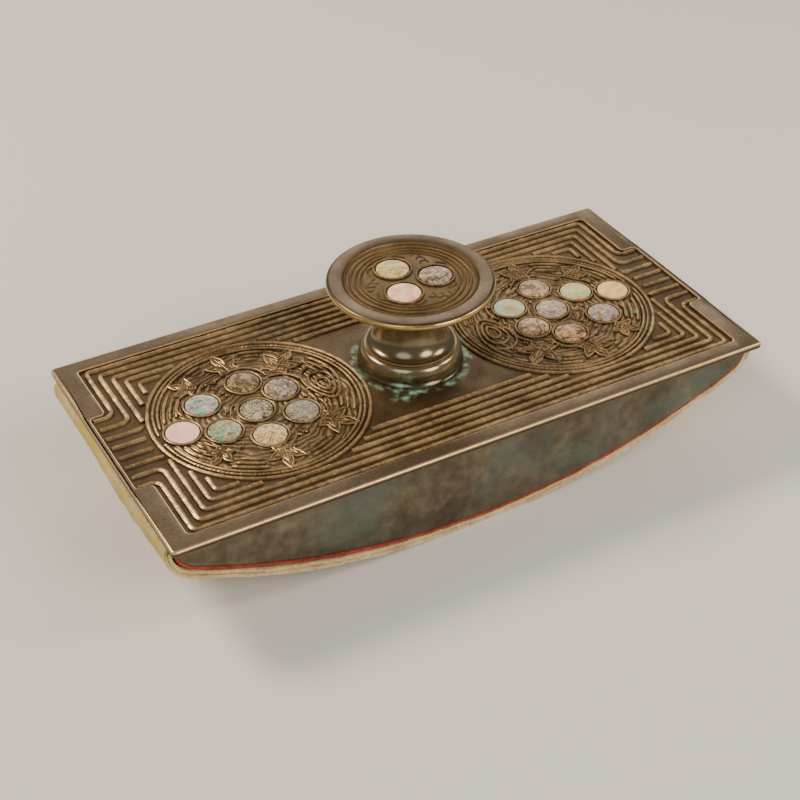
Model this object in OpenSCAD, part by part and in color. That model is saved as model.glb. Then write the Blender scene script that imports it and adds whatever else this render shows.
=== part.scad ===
// Rocker blotter from a desk set: a bronze plate set with shell discs is screwed down by a
// waisted knob onto a curved body, and clamps the ends of the blotting paper that wraps it.
// Origin: bottom centre, on the desk. +X runs along the length, +Y to the back, +Z up.

/* [Top plate] */
// Length of the plate
plate_length = 146; // [115:1:185]
// Width of the plate
plate_width = 70; // [56:1:90]
// Thickness of the plate at its border
plate_thick = 1.5; // [1.2:0.1:3]
// Depth of the ornamented field below the border
field_depth = 0.7; // [0.3:0.1:0.9]
// Width of the plain border along the long sides
side_border = 3.9; // [2:0.1:6]
// Width of the plain border at the ends
end_border = 5.1; // [2:0.1:8]
// Spacing of the raised lines that run round the field
rail_pitch = 2.25; // [1.8:0.05:3]
// Width of one raised line
rail_width = 1.1; // [0.6:0.1:1.4]
// Number of raised lines along each long side
rail_count = 6; // [3:1:7]
// Radius of the raised ring round each group of discs
ring_radius = 24.6; // [20:0.1:30]
// Gap from that ring to the border at the end
ring_end_gap = 5.8; // [3:0.1:9]

/* [Shell discs] */
// Diameter of one shell disc
shell_d = 7.2; // [6:0.1:9.6]
// Thickness of one shell disc at its edge
shell_thick = 0.9; // [0.6:0.1:1.1]
// Height of the disc's domed top above its edge
shell_dome = 0.3; // [0.1:0.05:0.5]
// Width of the raised rim round each disc
bezel_width = 0.6; // [0.4:0.1:0.9]
// Space between the rims of two discs that stand one pitch apart
disc_space = 1.5; // [0.6:0.1:2.1]
// Space between the rims of the knob's discs
knob_disc_space = 1.3; // [0.5:0.1:1.6]

/* [Knob] */
// Largest diameter of the knob
knob_d = 37.4; // [34:0.2:46]
// Height of the knob's top above the plate's border
knob_height = 21; // [18:0.5:30]
// Thickness of the knob's rounded rim
knob_rim = 1.75; // [1.2:0.05:3]
// Diameter of the knob's waist
waist_d = 14; // [11:0.5:18]
// Height of the waist above the plate's border
waist_height = 11; // [9:0.5:14]
// Diameter of the knob's foot
foot_d = 20.4; // [18:0.2:23]
// Thickness of the lip round the foot
foot_lip = 0.5; // [0.3:0.1:1]
// Diameter of the collar that the knob turns on
collar_d = 24; // [21:0.2:28]
// Height of the collar above the plate's border
collar_height = 4; // [3:0.1:6]
// Depth of the ornamented field in the knob's top
knob_field_depth = 0.5; // [0.3:0.1:1]

/* [Screw] */
// Diameter of the stud over its thread
stud_d = 6.2; // [5:0.1:8]
// Pitch of the thread
thread_pitch = 1.27; // [1:0.01:1.6]
// Depth of the thread
thread_depth = 0.35; // [0.2:0.05:0.5]
// Thickness of the ring that holds the knob to the plate
clip_thick = 0.9; // [0.6:0.1:1.2]
// Height of the threaded bush
bush_height = 8; // [6:0.5:9]
// Wall of the threaded bush
bush_wall = 3; // [2:0.1:4]

/* [Body] */
// How far the plate's sides stand out past the body
side_overhang = 3.5; // [1:0.1:5]
// How far the plate's ends stand out past the body
end_overhang = 2; // [1:0.1:5]
// Rise of the curved sole from its middle to its ends
sole_rise = 16.5; // [12:0.5:22]
// Height of the upright ends above the curve
end_height = 5.2; // [4.5:0.1:9]
// Radius of the rounded corner between curve and upright end
corner_radius = 6; // [2:0.5:7]
// Thickness of each side cheek
cheek_thick = 1.6; // [1.2:0.1:3]
// Thickness of the sole
sole_thick = 1.5; // [1:0.1:3]
// Width of the bar that the paper is clamped on
end_bar_width = 9; // [6:0.5:14]
// Thickness of that bar
end_bar_thick = 3.2; // [2:0.1:4]
// Width of the bridge that carries the bush
bridge_width = 18; // [16:0.5:24]
// Thickness of the bridge
bridge_thick = 3; // [2:0.1:4]

/* [Paper] */
// Thickness of the red sheet under the sole
red_thick = 0.8; // [0.4:0.1:1.2]
// Slack between the red sheet and the blotting sheets
paper_slack = 0.3; // [0.1:0.05:0.6]
// Thickness of one blotting sheet
blotter_thick = 0.8; // [0.4:0.1:1.2]
// Slack between the two blotting sheets
blotter_slack = 0.1; // [0.05:0.05:0.3]
// Length of the sheet ends folded in under the plate
lip_length = 9; // [5:0.5:12]

/* [Fits] */
// Gap round each shell disc
shell_gap = 0.05; // [0.03:0.01:0.1]
// Radial running clearance of the stud in its bush
running_gap = 0.06; // [0.02:0.01:0.1]
// Gap between pieces of the body that are soldered or folded together
seam_gap = 0.05; // [0.03:0.01:0.15]
// Gap under the knob and the plate where they bear
bearing_gap = 0.1; // [0.05:0.05:0.3]

/* [Hidden] */
$fn = 96;
tiny = 0.01;
cut = 1;

// Heights, worked up from the desk
paper_stack = red_thick + paper_slack + 2 * blotter_thick + blotter_slack;
sole_z = paper_stack;
plate_under = sole_z + sole_rise + end_height;
plate_top = plate_under + plate_thick;
field_z = plate_top - field_depth;
outer_lip_top = plate_under - bearing_gap;
inner_lip_top = outer_lip_top - blotter_thick - blotter_slack;
bar_top = inner_lip_top - blotter_thick - seam_gap;
knob_top = plate_top + knob_height;
collar_top = plate_top + collar_height;

// Body outline: an arc for the sole, a rounded corner and an upright end
half_length = plate_length / 2 - end_overhang;
half_width = plate_width / 2 - side_overhang;
cheek_inner = half_width - cheek_thick;
inside_width = 2 * (cheek_inner - seam_gap);
sole_radius = (pow(half_length, 2) + pow(sole_rise, 2)) / (2 * sole_rise);
sole_centre = sole_z + sole_radius;
corner_r = min(corner_radius, 1.12 * end_height);
corner_x = half_length - corner_r;
corner_z = sole_centre - sqrt(pow(sole_radius - corner_r, 2) - pow(corner_x, 2));
sole_angle = asin(corner_x / (sole_radius - corner_r));

// Screw and knob
stud_r = stud_d / 2;
hole_r = stud_r + 0.25;
clip_r = stud_r + 2.6;
groove_r = stud_r - 0.5;
knob_r = knob_d / 2;
waist_r = waist_d / 2;
foot_r = foot_d / 2;
collar_r = collar_d / 2;
bush_r = stud_r + bush_wall;
bush_top = plate_under - clip_thick - 3.2;
bush_bottom = bush_top - bush_height;
stud_bottom = bush_bottom - 1.6;
stud_top = plate_top + waist_height + 3;
foot_z = collar_top + bearing_gap;

// Shell discs: places in a group are in disc pitches from the middle of its ring
shell_r = shell_d / 2;
bezel_r = shell_r + shell_gap + bezel_width;
disc_pitch = 2 * bezel_r + disc_space;
ring_x = plate_length / 2 - end_border - ring_end_gap - ring_radius;
group = [
    [1.85, 0.03],
    [1.04, 0.41], [1.10, -0.67],
    [0.24, 1.00], [0.13, 0.07], [-0.03, -0.97],
    [-0.72, 0.59], [-0.66, -0.36]
];
knob_angles = [106, 226, 346];
knob_shell_place = (2 * bezel_r + knob_disc_space) / sqrt(3);
shell_seat = 0.05;

shell_names = [for (side = ["left", "right"], i = [1 : len(group)]) str(side, "_shell_", i)];
knob_shell_names = [for (i = [1 : len(knob_angles)]) str("knob_shell_", i)];

// Points round an arc, from angle a0 to angle a1
function arc(centre, r, a0, a1, steps) = [
    for (i = [0 : steps]) let (a = a0 + (a1 - a0) * i / steps) centre + r * [cos(a), sin(a)]
];

// The body's side outline, grown by t, from the desk up to the height top
module side_outline(t, top) {
    reach = half_length + t;
    high = max(top, corner_z) + cut;
    intersection() {
        polygon(concat(
            arc([-corner_x, corner_z], corner_r + t, -180, -90 - sole_angle, 10),
            arc([0, sole_centre], sole_radius + t, -90 - sole_angle, -90 + sole_angle, 72),
            arc([corner_x, corner_z], corner_r + t, -90 + sole_angle, 0, 10),
            [[reach, high], [-reach, high]]));
        translate([-reach - cut, -cut]) square([2 * (reach + cut), top + cut]);
    }
}

// A side outline given a width across the body
module across(width) {
    translate([0, width / 2, 0]) rotate([90, 0, 0]) linear_extrude(width) children();
}

// A skin round the outline, from t_in to t_out, up to the height top
module skin(t_in, t_out, width, top) {
    across(width) difference() {
        side_outline(t_out, top);
        side_outline(t_in, top + cut);
    }
}

// A flat end folded in under the plate
module lips(t_out, top) {
    reach = half_length + t_out;
    for (side = [-1, 1])
        translate([side > 0 ? half_length - lip_length : -reach, -inside_width / 2, top - blotter_thick])
            cube([reach - half_length + lip_length, inside_width, blotter_thick]);
}

module cheek(side) {
    color("#4f4a3c")
        translate([0, side * (half_width - cheek_thick / 2), 0])
            across(cheek_thick) side_outline(0, plate_under);
}

module front_cheek() { cheek(-1); }

module back_cheek() { cheek(1); }

module sole_plate() {
    color("#5a5040") skin(-sole_thick, 0, inside_width, bar_top);
}

// Each end bar follows the inside of the sole at its outer end
module end_bar(side) {
    outer = half_length - sole_thick - seam_gap;
    color("#5a5040") across(inside_width) intersection() {
        side_outline(-sole_thick - seam_gap, bar_top);
        translate([side > 0 ? outer - end_bar_width : -outer, bar_top - end_bar_thick])
            square([end_bar_width, end_bar_thick]);
    }
}

module left_end_bar() { end_bar(-1); }

module right_end_bar() { end_bar(1); }

// The bridge stands from cheek to cheek and has a round hole for the bush
module centre_bridge() {
    color("#5a5040") difference() {
        translate([-bridge_width / 2, -inside_width / 2, bush_bottom + 2])
            cube([bridge_width, inside_width, bridge_thick]);
        translate([0, 0, bush_bottom]) cylinder(r = bush_r + seam_gap, h = bush_height);
    }
}

module threaded_bush() {
    color("#9a7530") translate([0, 0, bush_bottom]) difference() {
        union() {
            cylinder(r = bush_r, h = bush_height);
            translate([0, 0, 2 + bridge_thick]) cylinder(r = bush_r + 1.5, h = 1);
        }
        translate([0, 0, -cut]) cylinder(r = stud_r + running_gap, h = bush_height + 2 * cut);
    }
}

module red_underlay() {
    color("#a04a38") skin(seam_gap, red_thick, 2 * half_width, bar_top);
}

// One blotting sheet: a skin round the sole, with both ends folded in under the plate
module blotter(t_in, top) {
    t_out = t_in + blotter_thick;
    color("#c8b088") union() {
        skin(t_in, t_out, 2 * half_width, top);
        lips(t_out, top);
    }
}

module inner_blotter() { blotter(red_thick + paper_slack, inner_lip_top); }

module outer_blotter() {
    blotter(red_thick + paper_slack + blotter_thick + blotter_slack, outer_lip_top);
}

// Puts its children at each disc of the group on one side; left is right turned half a turn
module at_group(side) {
    rotate(side > 0 ? 0 : 180) for (p = group)
        translate([ring_x + p[0] * disc_pitch, p[1] * disc_pitch, 0]) children();
}

module at_knob_discs() {
    for (a = knob_angles) rotate(a) translate([knob_shell_place, 0, 0]) children();
}

// Raised lines: frames one inside another, cut away for the rings and at the ends
module rails() {
    half_x = plate_length / 2 - end_border - 1.5;
    half_y = plate_width / 2 - side_border - 1;
    difference() {
        for (i = [0 : rail_count - 1]) {
            x = half_x - i * rail_pitch;
            y = half_y - i * rail_pitch;
            difference() {
                translate([-x, -y]) square([2 * x, 2 * y]);
                translate([rail_width - x, rail_width - y]) square([2 * (x - rail_width), 2 * (y - rail_width)]);
            }
        }
        for (side = [-1, 1]) translate([side * ring_x, 0]) circle(ring_radius);
        square([2 * (ring_x - ring_radius / 2), 2 * (half_y - rail_count * rail_pitch)], center = true);
        square([plate_length, 2 * 12], center = true);
    }
}

module top_plate() {
    raise = field_depth + tiny;
    color("#7a6248") difference() {
        union() {
            difference() {
                translate([-plate_length / 2, -plate_width / 2, plate_under])
                    cube([plate_length, plate_width, plate_thick]);
                translate([end_border - plate_length / 2, side_border - plate_width / 2, field_z])
                    cube([plate_length - 2 * end_border, plate_width - 2 * side_border, plate_thick]);
            }
            translate([0, 0, field_z - tiny]) difference() {
                linear_extrude(raise) difference() {
                    union() {
                        rails();
                        for (side = [-1, 1], r = [ring_radius, ring_radius - 1.7])
                            translate([side * ring_x, 0]) difference() {
                                circle(r);
                                circle(r - rail_width);
                            }
                    }
                    circle(collar_r + 1);
                }
            }
            for (side = [-1, 1]) at_group(side) translate([0, 0, field_z - tiny])
                cylinder(r = bezel_r, h = raise);
            // Ribs under the plate drop between the cheeks and stop it turning
            for (side = [-1, 1])
                translate([-20, side * (cheek_inner - 0.4) - (side > 0 ? 1.6 : 0), plate_under - 2])
                    cube([40, 1.6, 2 + tiny]);
        }
        for (side = [-1, 1]) at_group(side)
            translate([0, 0, plate_top - shell_thick - shell_seat])
                cylinder(r = shell_r + shell_gap, h = plate_thick);
        translate([0, 0, plate_under - cut]) cylinder(r = hole_r, h = plate_thick + 2 * cut);
    }
}

// A ring whose side swells outwards from the knob's foot down to the plate
module knob_collar() {
    base_z = plate_top + 1;
    steps = 12;
    color("#6f6456") rotate_extrude() polygon(concat(
        [[hole_r, field_z], [collar_r, field_z]],
        [for (i = [0 : steps]) let (a = 90 * i / steps)
            [foot_r + (collar_r - foot_r) * cos(a), base_z + (collar_top - base_z) * sin(a)]],
        [[hole_r, collar_top]]));
}

// Half of the knob's outline: foot, waist, underside of the disc and rounded rim
function flare(r0, r1, u) = r0 + (r1 - r0) * (1 - sqrt(1 - u * u));

module knob_outline() {
    nose = knob_rim / 2;
    under = knob_top - knob_rim;
    waist_z = plate_top + waist_height;
    lip_z = foot_z + foot_lip;
    steps = 16;
    polygon(concat(
        [[0, foot_z], [foot_r, foot_z]],
        [for (i = [0 : steps]) let (a = 90 * i / steps)
            [flare(waist_r, foot_r, cos(a)), waist_z - (waist_z - lip_z) * cos(a)]],
        [for (i = [1 : steps]) let (a = 90 * i / steps)
            [flare(waist_r, knob_r - nose, sin(a)), waist_z + (under - waist_z) * sin(a)]],
        [for (i = [1 : steps]) let (a = -90 + 180 * i / steps)
            [knob_r - nose + nose * cos(a), under + nose + nose * sin(a)]],
        [[0, knob_top]]));
}

module knob() {
    field_r = knob_r - 4.3;
    floor_z = knob_top - knob_field_depth;
    color("#6f6456") difference() {
        union() {
            difference() {
                rotate_extrude() knob_outline();
                translate([0, 0, floor_z]) cylinder(r = field_r, h = knob_rim);
            }
            translate([0, 0, floor_z - tiny]) linear_extrude(knob_field_depth + tiny)
                difference() {
                    circle(field_r - 1.2);
                    circle(field_r - 2.1);
                }
            at_knob_discs() translate([0, 0, floor_z - tiny])
                cylinder(r = bezel_r, h = knob_field_depth + tiny);
        }
        at_knob_discs() translate([0, 0, knob_top - shell_thick - shell_seat])
            cylinder(r = shell_r + shell_gap, h = knob_rim);
        translate([0, 0, foot_z - cut]) cylinder(r = stud_r + seam_gap, h = stud_top - foot_z + cut);
    }
}

// The stud is fixed in the knob; rings stand for its thread, and a groove takes the clip
module knob_stud() {
    clip_z = plate_under - clip_thick - 0.3;
    threads = floor((bush_top - stud_bottom) / thread_pitch) + 5;
    color("#9a7530") difference() {
        translate([0, 0, stud_bottom]) cylinder(r = stud_r, h = stud_top - stud_bottom);
        for (i = [1 : threads]) let (z = stud_bottom + i * thread_pitch)
            if (z < clip_z - 1) translate([0, 0, z]) rotate_extrude() polygon([
                [stud_r - thread_depth, 0],
                [stud_r + thread_depth, -thread_pitch / 2],
                [stud_r + thread_depth, thread_pitch / 2]]);
        translate([0, 0, clip_z]) difference() {
            cylinder(r = stud_r + 1, h = clip_thick);
            cylinder(r = groove_r, h = clip_thick);
        }
    }
}

module stud_clip() {
    color("#8a8478") translate([0, 0, plate_under - clip_thick - 0.3 + seam_gap]) difference() {
        cylinder(r = clip_r, h = clip_thick - 2 * seam_gap);
        translate([0, 0, -cut]) cylinder(r = groove_r + 0.02, h = clip_thick + cut);
    }
}

// A disc with a low domed top; the dome is part of one large sphere
module shell_disc(top) {
    edge = shell_thick - shell_dome;
    dome_r = (pow(shell_r, 2) + pow(shell_dome, 2)) / (2 * shell_dome);
    color("#cbb8b0") translate([0, 0, top - shell_thick]) intersection() {
        cylinder(r = shell_r, h = shell_thick);
        translate([0, 0, shell_thick - dome_r]) sphere(dome_r, $fn = 180);
    }
}

module plate_shell(side, i) {
    p = group[i - 1];
    rotate(side > 0 ? 0 : 180)
        translate([ring_x + p[0] * disc_pitch, p[1] * disc_pitch, 0]) shell_disc(plate_top);
}

module knob_shell(i) {
    rotate(knob_angles[i - 1]) translate([knob_shell_place, 0, 0]) shell_disc(knob_top);
}

front_cheek();
back_cheek();
sole_plate();
left_end_bar();
right_end_bar();
centre_bridge();
threaded_bush();
red_underlay();
inner_blotter();
outer_blotter();
top_plate();
knob_collar();
knob();
knob_stud();
stud_clip();
for (i = [1 : len(group)]) {
    plate_shell(-1, i);
    plate_shell(1, i);
}
for (i = [1 : len(knob_angles)])
    knob_shell(i);
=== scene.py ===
import math
import random

import bmesh
import bpy
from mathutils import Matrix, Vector, noise


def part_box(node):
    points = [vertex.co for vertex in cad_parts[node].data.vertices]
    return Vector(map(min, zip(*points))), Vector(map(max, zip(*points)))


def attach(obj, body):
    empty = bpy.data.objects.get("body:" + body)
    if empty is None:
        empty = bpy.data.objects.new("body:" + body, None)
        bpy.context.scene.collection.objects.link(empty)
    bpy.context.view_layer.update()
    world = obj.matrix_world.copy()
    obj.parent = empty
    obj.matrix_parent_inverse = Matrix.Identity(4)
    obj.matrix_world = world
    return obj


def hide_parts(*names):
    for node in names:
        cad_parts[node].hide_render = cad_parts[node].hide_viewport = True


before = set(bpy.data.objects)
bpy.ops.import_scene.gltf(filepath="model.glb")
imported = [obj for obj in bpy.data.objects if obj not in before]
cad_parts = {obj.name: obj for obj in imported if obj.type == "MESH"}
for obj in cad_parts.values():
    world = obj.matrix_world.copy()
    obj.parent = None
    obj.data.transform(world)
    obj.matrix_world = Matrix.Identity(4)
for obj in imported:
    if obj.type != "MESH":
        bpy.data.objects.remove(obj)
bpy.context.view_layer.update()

# Camera, floor and lights: the blotter stands on a pale table top and is seen from the front
# left and above. A broad soft lamp behind it rakes over the relief, a second lights the front
# right, and a weak one fills the shadow side.
camera_at = Vector((-0.14830, -0.25942, 0.23984))
aim_at = Vector((-0.0102, -0.0134, 0.0260))

camera_data = bpy.data.cameras.new("camera")
camera_data.lens = 72.95
camera_data.sensor_width = 36
camera = bpy.data.objects.new("camera", camera_data)
camera.location = camera_at
camera.rotation_euler = (aim_at - camera_at).to_track_quat("-Z", "Y").to_euler()
bpy.context.collection.objects.link(camera)
bpy.context.scene.camera = camera


def linear(hex_colour):
    """A #rrggbb sRGB colour as linear RGBA."""
    channels = [int(hex_colour[i:i + 2], 16) / 255 for i in (1, 3, 5)]
    return [c / 12.92 if c <= 0.04045 else ((c + 0.055) / 1.055) ** 2.4 for c in channels] + [1]


def add_node(tree, kind, settings, inputs, output=0, stops=()):
    """Adds a shader node and returns one of its outputs. Its inputs are a list in socket order or a
    dict; each is a number, a vector, a #rrggbb colour or another node's output. Stops are those of
    a colour ramp, as (position, colour)."""
    node = tree.nodes.new("ShaderNode" + kind)
    for key, value in settings.items():
        setattr(node, key, value)
    for key, value in inputs.items() if isinstance(inputs, dict) else enumerate(inputs):
        if isinstance(value, bpy.types.NodeSocket):
            tree.links.new(value, node.inputs[key])
        else:
            node.inputs[key].default_value = linear(value) if isinstance(value, str) else value
    if stops:
        elements = node.color_ramp.elements
        while len(elements) < len(stops):
            elements.new(0.5)
        for element, (position, colour) in zip(elements, stops):
            element.position = position
            element.color = linear(colour)
    return node.outputs[output]


def new_material(name, shader):
    """A material whose Principled shader has these inputs; returns it, its tree and the shader."""
    material = bpy.data.materials.new(name)
    material.use_nodes = True
    principled = material.node_tree.nodes["Principled BSDF"]
    for key, value in shader.items():
        principled.inputs[key].default_value = value
    return material, material.node_tree, principled


def area_lamp(name, place, size, watts, colour):
    data = bpy.data.lights.new(name, "AREA")
    data.shape = "DISK"
    data.size = size
    data.energy = watts
    data.color = linear(colour)[:3]
    lamp = bpy.data.objects.new(name, data)
    lamp.location = place
    lamp.rotation_euler = (Vector((0, 0, 0.02)) - Vector(place)).to_track_quat("-Z", "Y").to_euler()
    bpy.context.collection.objects.link(lamp)


area_lamp("key_lamp", (-0.42, 0.42, 0.62), 0.26, 6.5, "#ffeed8")
area_lamp("back_lamp", (0.55, 1.00, 0.62), 0.70, 3, "#fff4e4")
area_lamp("side_lamp", (0.62, -0.30, 0.50), 0.30, 3, "#fff0dd")
area_lamp("fill_lamp", (-0.60, -0.50, 0.60), 0.60, 2.4, "#eef2ff")
area_lamp("front_lamp", (0.28, -0.78, 0.50), 0.45, 5, "#fff6ea")

world = bpy.data.worlds.new("studio")
world.use_nodes = True
world.node_tree.nodes["Background"].inputs["Color"].default_value = linear("#e6e4e0")
world.node_tree.nodes["Background"].inputs["Strength"].default_value = 0.32
bpy.context.scene.world = world

bpy.ops.mesh.primitive_plane_add(size=6, location=(0, 0, 0))
floor = bpy.context.object
floor.name = "floor"
floor_paint, _, _ = new_material("pale_table_top", {"Base Color": linear("#d9d6d0"), "Roughness": 0.8})
floor.data.materials.append(floor_paint)

# Bronze finishes: the plate is cast bronze, chemically browned and then rubbed, so its high
# lines are golden and its hollows nearly black. Every finish mixes its colours by height and
# by cloudy patches a few millimetres across, over a fine cast grain, and flecks its high parts with specks of
# painted glint.
mm = 0.001
plate_low, plate_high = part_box("top_plate")
plate_top = plate_high.z
plate_under = plate_top - 1.5 * mm
field_z = plate_top - 0.7 * mm


add = {"operation": "ADD"}
subtract = {"operation": "SUBTRACT"}
multiply = {"operation": "MULTIPLY"}
larger = {"operation": "MAXIMUM"}
unsigned = {"operation": "ABSOLUTE"}
over = {"data_type": "RGBA"}


def cloud(tree, size_mm, detail=3, distortion=0.0):
    """Cloudy patches about size_mm across, fixed to the piece."""
    place = add_node(tree, "TexCoord", {}, {}, "Object")
    return add_node(tree, "TexNoise", {}, {"Vector": place, "Scale": 1000 / size_mm, "Detail": detail,
                                           "Distortion": distortion})


def along_axis(tree, letter, low, high, at_low=0.0, at_high=1.0):
    """A value that runs from at_low to at_high between two places along one of the axes."""
    place = add_node(tree, "TexCoord", {}, {}, "Object")
    place = add_node(tree, "SeparateXYZ", {}, [place], letter)
    return add_node(tree, "MapRange", {}, [place, low, high, at_low, at_high])


def grain(tree, principled, size_mm, depth_mm, strength=0.6):
    """Fine bump, for a cast or worked surface."""
    bump = add_node(tree, "Bump", {}, {"Strength": strength, "Distance": depth_mm * mm,
                                       "Height": cloud(tree, size_mm, 4)})
    tree.links.new(bump, principled.inputs["Normal"])


def from_axis(tree, centre):
    """Distance in plan from an upright axis through centre."""
    place = add_node(tree, "TexCoord", {}, {}, "Object")
    flat = add_node(tree, "VectorMath", multiply, [place, (1, 1, 0)])
    return add_node(tree, "VectorMath", {"operation": "DISTANCE"}, [flat, (centre[0], centre[1], 0)], "Value")


def near_ring(tree, centre, radius_mm, spread_mm):
    """1 on a ring about centre, falling to 0 at spread_mm to each side."""
    off = add_node(tree, "Math", subtract, [from_axis(tree, centre), radius_mm * mm])
    off = add_node(tree, "Math", unsigned, [off])
    return add_node(tree, "MapRange", {}, [off, 0.0, spread_mm * mm, 1.0, 0.0])


# Mint-green verdigris creeps round the knob's collar and sits in a few hollows of the relief.
# Each spot: its middle, the radius of its ring, how far it spreads, and how sparse it is.
verdigris_spots = [((0, 0), 13.0, 1.25, 0.43), ((-0.0085, -0.0112), 0.0, 3.8, 0.44),
                   ((0.0148, 0.0010), 0.0, 3.4, 0.50),
                   ((0.0140, 0.0090), 0.0, 3.0, 0.50), ((0.0562, -0.0105), 0.0, 3.0, 0.52),
                   ((0.0600, -0.0128), 0.0, 2.2, 0.50), ((-0.0142, -0.0042), 0.0, 2.6, 0.50)]


def verdigris(tree):
    """Where the green salt lies, 0 to 1."""
    patches = cloud(tree, 2.2, 8, 0.2)
    total = None
    for centre, radius_mm, spread_mm, level in verdigris_spots:
        zone = add_node(tree, "MapRange", {}, [near_ring(tree, centre, radius_mm, spread_mm), 0.0, 0.9])
        speck = add_node(tree, "MapRange", {}, [patches, level, level + 0.28])
        spot = add_node(tree, "Math", multiply, [zone, speck])
        total = spot if total is None else add_node(tree, "Math", larger, [total, spot])
    return total


def chasing(tree):
    """Fine wavy lines that follow the two ringed groups of the plate, as a height from 0 to 1."""
    place = add_node(tree, "TexCoord", {}, {}, "Object")
    total = None
    for side in (-1, 1):
        centred = add_node(tree, "Mapping", {}, {"Vector": place, "Location": (side * ring_centre_x, 0, 0)})
        waves = add_node(tree, "TexWave", {"wave_type": "RINGS", "rings_direction": "Z"},
                         {"Vector": centred, "Scale": math.tau / 20 / (1.45 * mm), "Distortion": 9,
                          "Detail": 2, "Detail Scale": 0.9}, "Fac")
        off = from_axis(tree, (-side * ring_centre_x, 0))
        inside = add_node(tree, "MapRange", {}, [off, 21.4 * mm, 21.8 * mm, 1.0, 0.0])
        part = add_node(tree, "Math", multiply, [waves, inside])
        total = part if total is None else add_node(tree, "Math", larger, [total, part])
    return total


def bronze(name, hollow, middle, rubbed, low_z, high_z, roughness, grain_mm, green=False, chased=False,
           glint="#8d7757", wear=1.0):
    """Patinated bronze whose colour goes from hollow to rubbed between two heights."""
    material, tree, principled = new_material(name, {"Metallic": 0.8, "Roughness": roughness})
    height = along_axis(tree, "Z", low_z, high_z)
    blotch = add_node(tree, "MapRange", {}, [cloud(tree, 9.0, 4), 0.3, 0.7, -0.18 * wear, 0.18 * wear])
    level = add_node(tree, "Math", add, [height, blotch])
    if chased:
        lines = chasing(tree)
        raised = add_node(tree, "Math", multiply, [lines, 0.75])
        level = add_node(tree, "Math", add, [level, raised])
    colour = add_node(tree, "ValToRGB", {}, [level], stops=[(0.05, hollow), (0.5, middle), (0.95, rubbed)])
    freckle = add_node(tree, "MapRange", {}, [cloud(tree, 0.9), 0.38, 0.62, 0.0, 0.30 * wear])
    colour = add_node(tree, "Mix", over, {0: freckle, 6: colour, 7: hollow}, 2)
    # Specks on the high parts take the glint colour: painted glints of light on the metal.
    painted_glint_specks = add_node(tree, "MapRange", {}, [cloud(tree, 0.5, 2), 0.56, 0.64])
    on_tops = add_node(tree, "MapRange", {}, [height, 0.45, 0.95, 0.0, 0.65])
    painted_glint = add_node(tree, "Math", multiply, [painted_glint_specks, on_tops])
    colour = add_node(tree, "Mix", over, {0: painted_glint, 6: colour, 7: glint}, 2)
    gloss = add_node(tree, "MapRange", {}, [cloud(tree, 5.0), 0.3, 0.7, roughness - 0.08 * wear,
                                            roughness + 0.12 * wear])
    if green:
        mask = verdigris(tree)
        mint = add_node(tree, "ValToRGB", {}, [cloud(tree, 0.8)],
                        stops=[(0.35, "#78ab8a"), (0.65, "#a8e6c6")])
        colour = add_node(tree, "Mix", over, {0: mask, 6: colour, 7: mint}, 2)
        gloss = add_node(tree, "Math", larger, [gloss, mask])
        metal = add_node(tree, "MapRange", {}, [mask, 0.0, 1.0, 0.8, 0.0])
        tree.links.new(metal, principled.inputs["Metallic"])
    tree.links.new(gloss, principled.inputs["Roughness"])
    tree.links.new(colour, principled.inputs["Base Color"])
    grain(tree, principled, grain_mm, 0.05 * wear)
    if chased:
        cast_grain = principled.inputs["Normal"].links[0].from_socket
        bump = add_node(tree, "Bump", {}, {"Strength": 0.9, "Distance": 0.30 * mm, "Height": lines,
                                           "Normal": cast_grain})
        tree.links.new(bump, principled.inputs["Normal"])
    return material


ring_centre_x = 37.8 * mm

# The sunk field is dark brown, which sets the relief off, with fine chasing in its hollows.
field_bronze = bronze("browned_bronze_field", "#3a2f20", "#665339", "#957d5a",
                      field_z - 0.3 * mm, field_z + 0.5 * mm, 0.44, 0.5, green=True, chased=True)
# The raised lines go from brown flanks to golden rubbed tops, flecked with bright specks that are painted
# glints.
ridge_bronze = bronze("rubbed_bronze_relief", "#3d2f1e", "#836945", "#cbab7e",
                      field_z - 0.05 * mm, plate_top - 0.05 * mm, 0.36, 0.45, green=True, glint="#f0cd94")
# The plain border is an even, silky brown that only carries broad soft reflections.
border_bronze = bronze("smooth_bronze_border", "#4c4033", "#615341", "#796953",
                       field_z, plate_top + 0.2 * mm, 0.40, 0.7, glint="#83735a")
# Handling has worn the edges and lips pale and shiny; the pale line along each outline, lighter on its upper
# side, is also a painted highlight.
worn_edge_and_highlight = bronze("worn_bronze_edge_and_painted_highlight", "#6b5335", "#9a7d55", "#cfb186",
                     plate_under, plate_top, 0.28, 0.6, glint="#cfb186", wear=0.5)

# Top plate: one flat bronze casting. Its middle is sunk 0.7 mm inside a plain border, with a
# wider window at each end, and its outer edge is rounded over, worn bright by handling and
# painted with a highlight line. Seats for the shell discs and the hole for the stud are bored into it.
half_x = plate_high.x
half_y = plate_high.y
field_half_x = 68 * mm
field_half_y = 31.1 * mm
window_half_x = 71.7 * mm
window_half_y = 13.4 * mm
corner_round = 0.9 * mm
edge_round = 0.55 * mm


def activate(piece):
    """Makes a piece the only selected one, and the active one."""
    bpy.ops.object.select_all(action="DESELECT")
    piece.select_set(True)
    bpy.context.view_layer.objects.active = piece


def pick_faces(test):
    """In edit mode, selects the faces whose middle and normal pass the test."""
    bpy.ops.mesh.select_mode(type="FACE")
    bm = bmesh.from_edit_mesh(bpy.context.object.data)
    for face in bm.faces:
        face.select_set(bool(test(face.calc_center_median(), face.normal)))
    bm.select_flush_mode()
    bmesh.update_edit_mesh(bpy.context.object.data)


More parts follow.
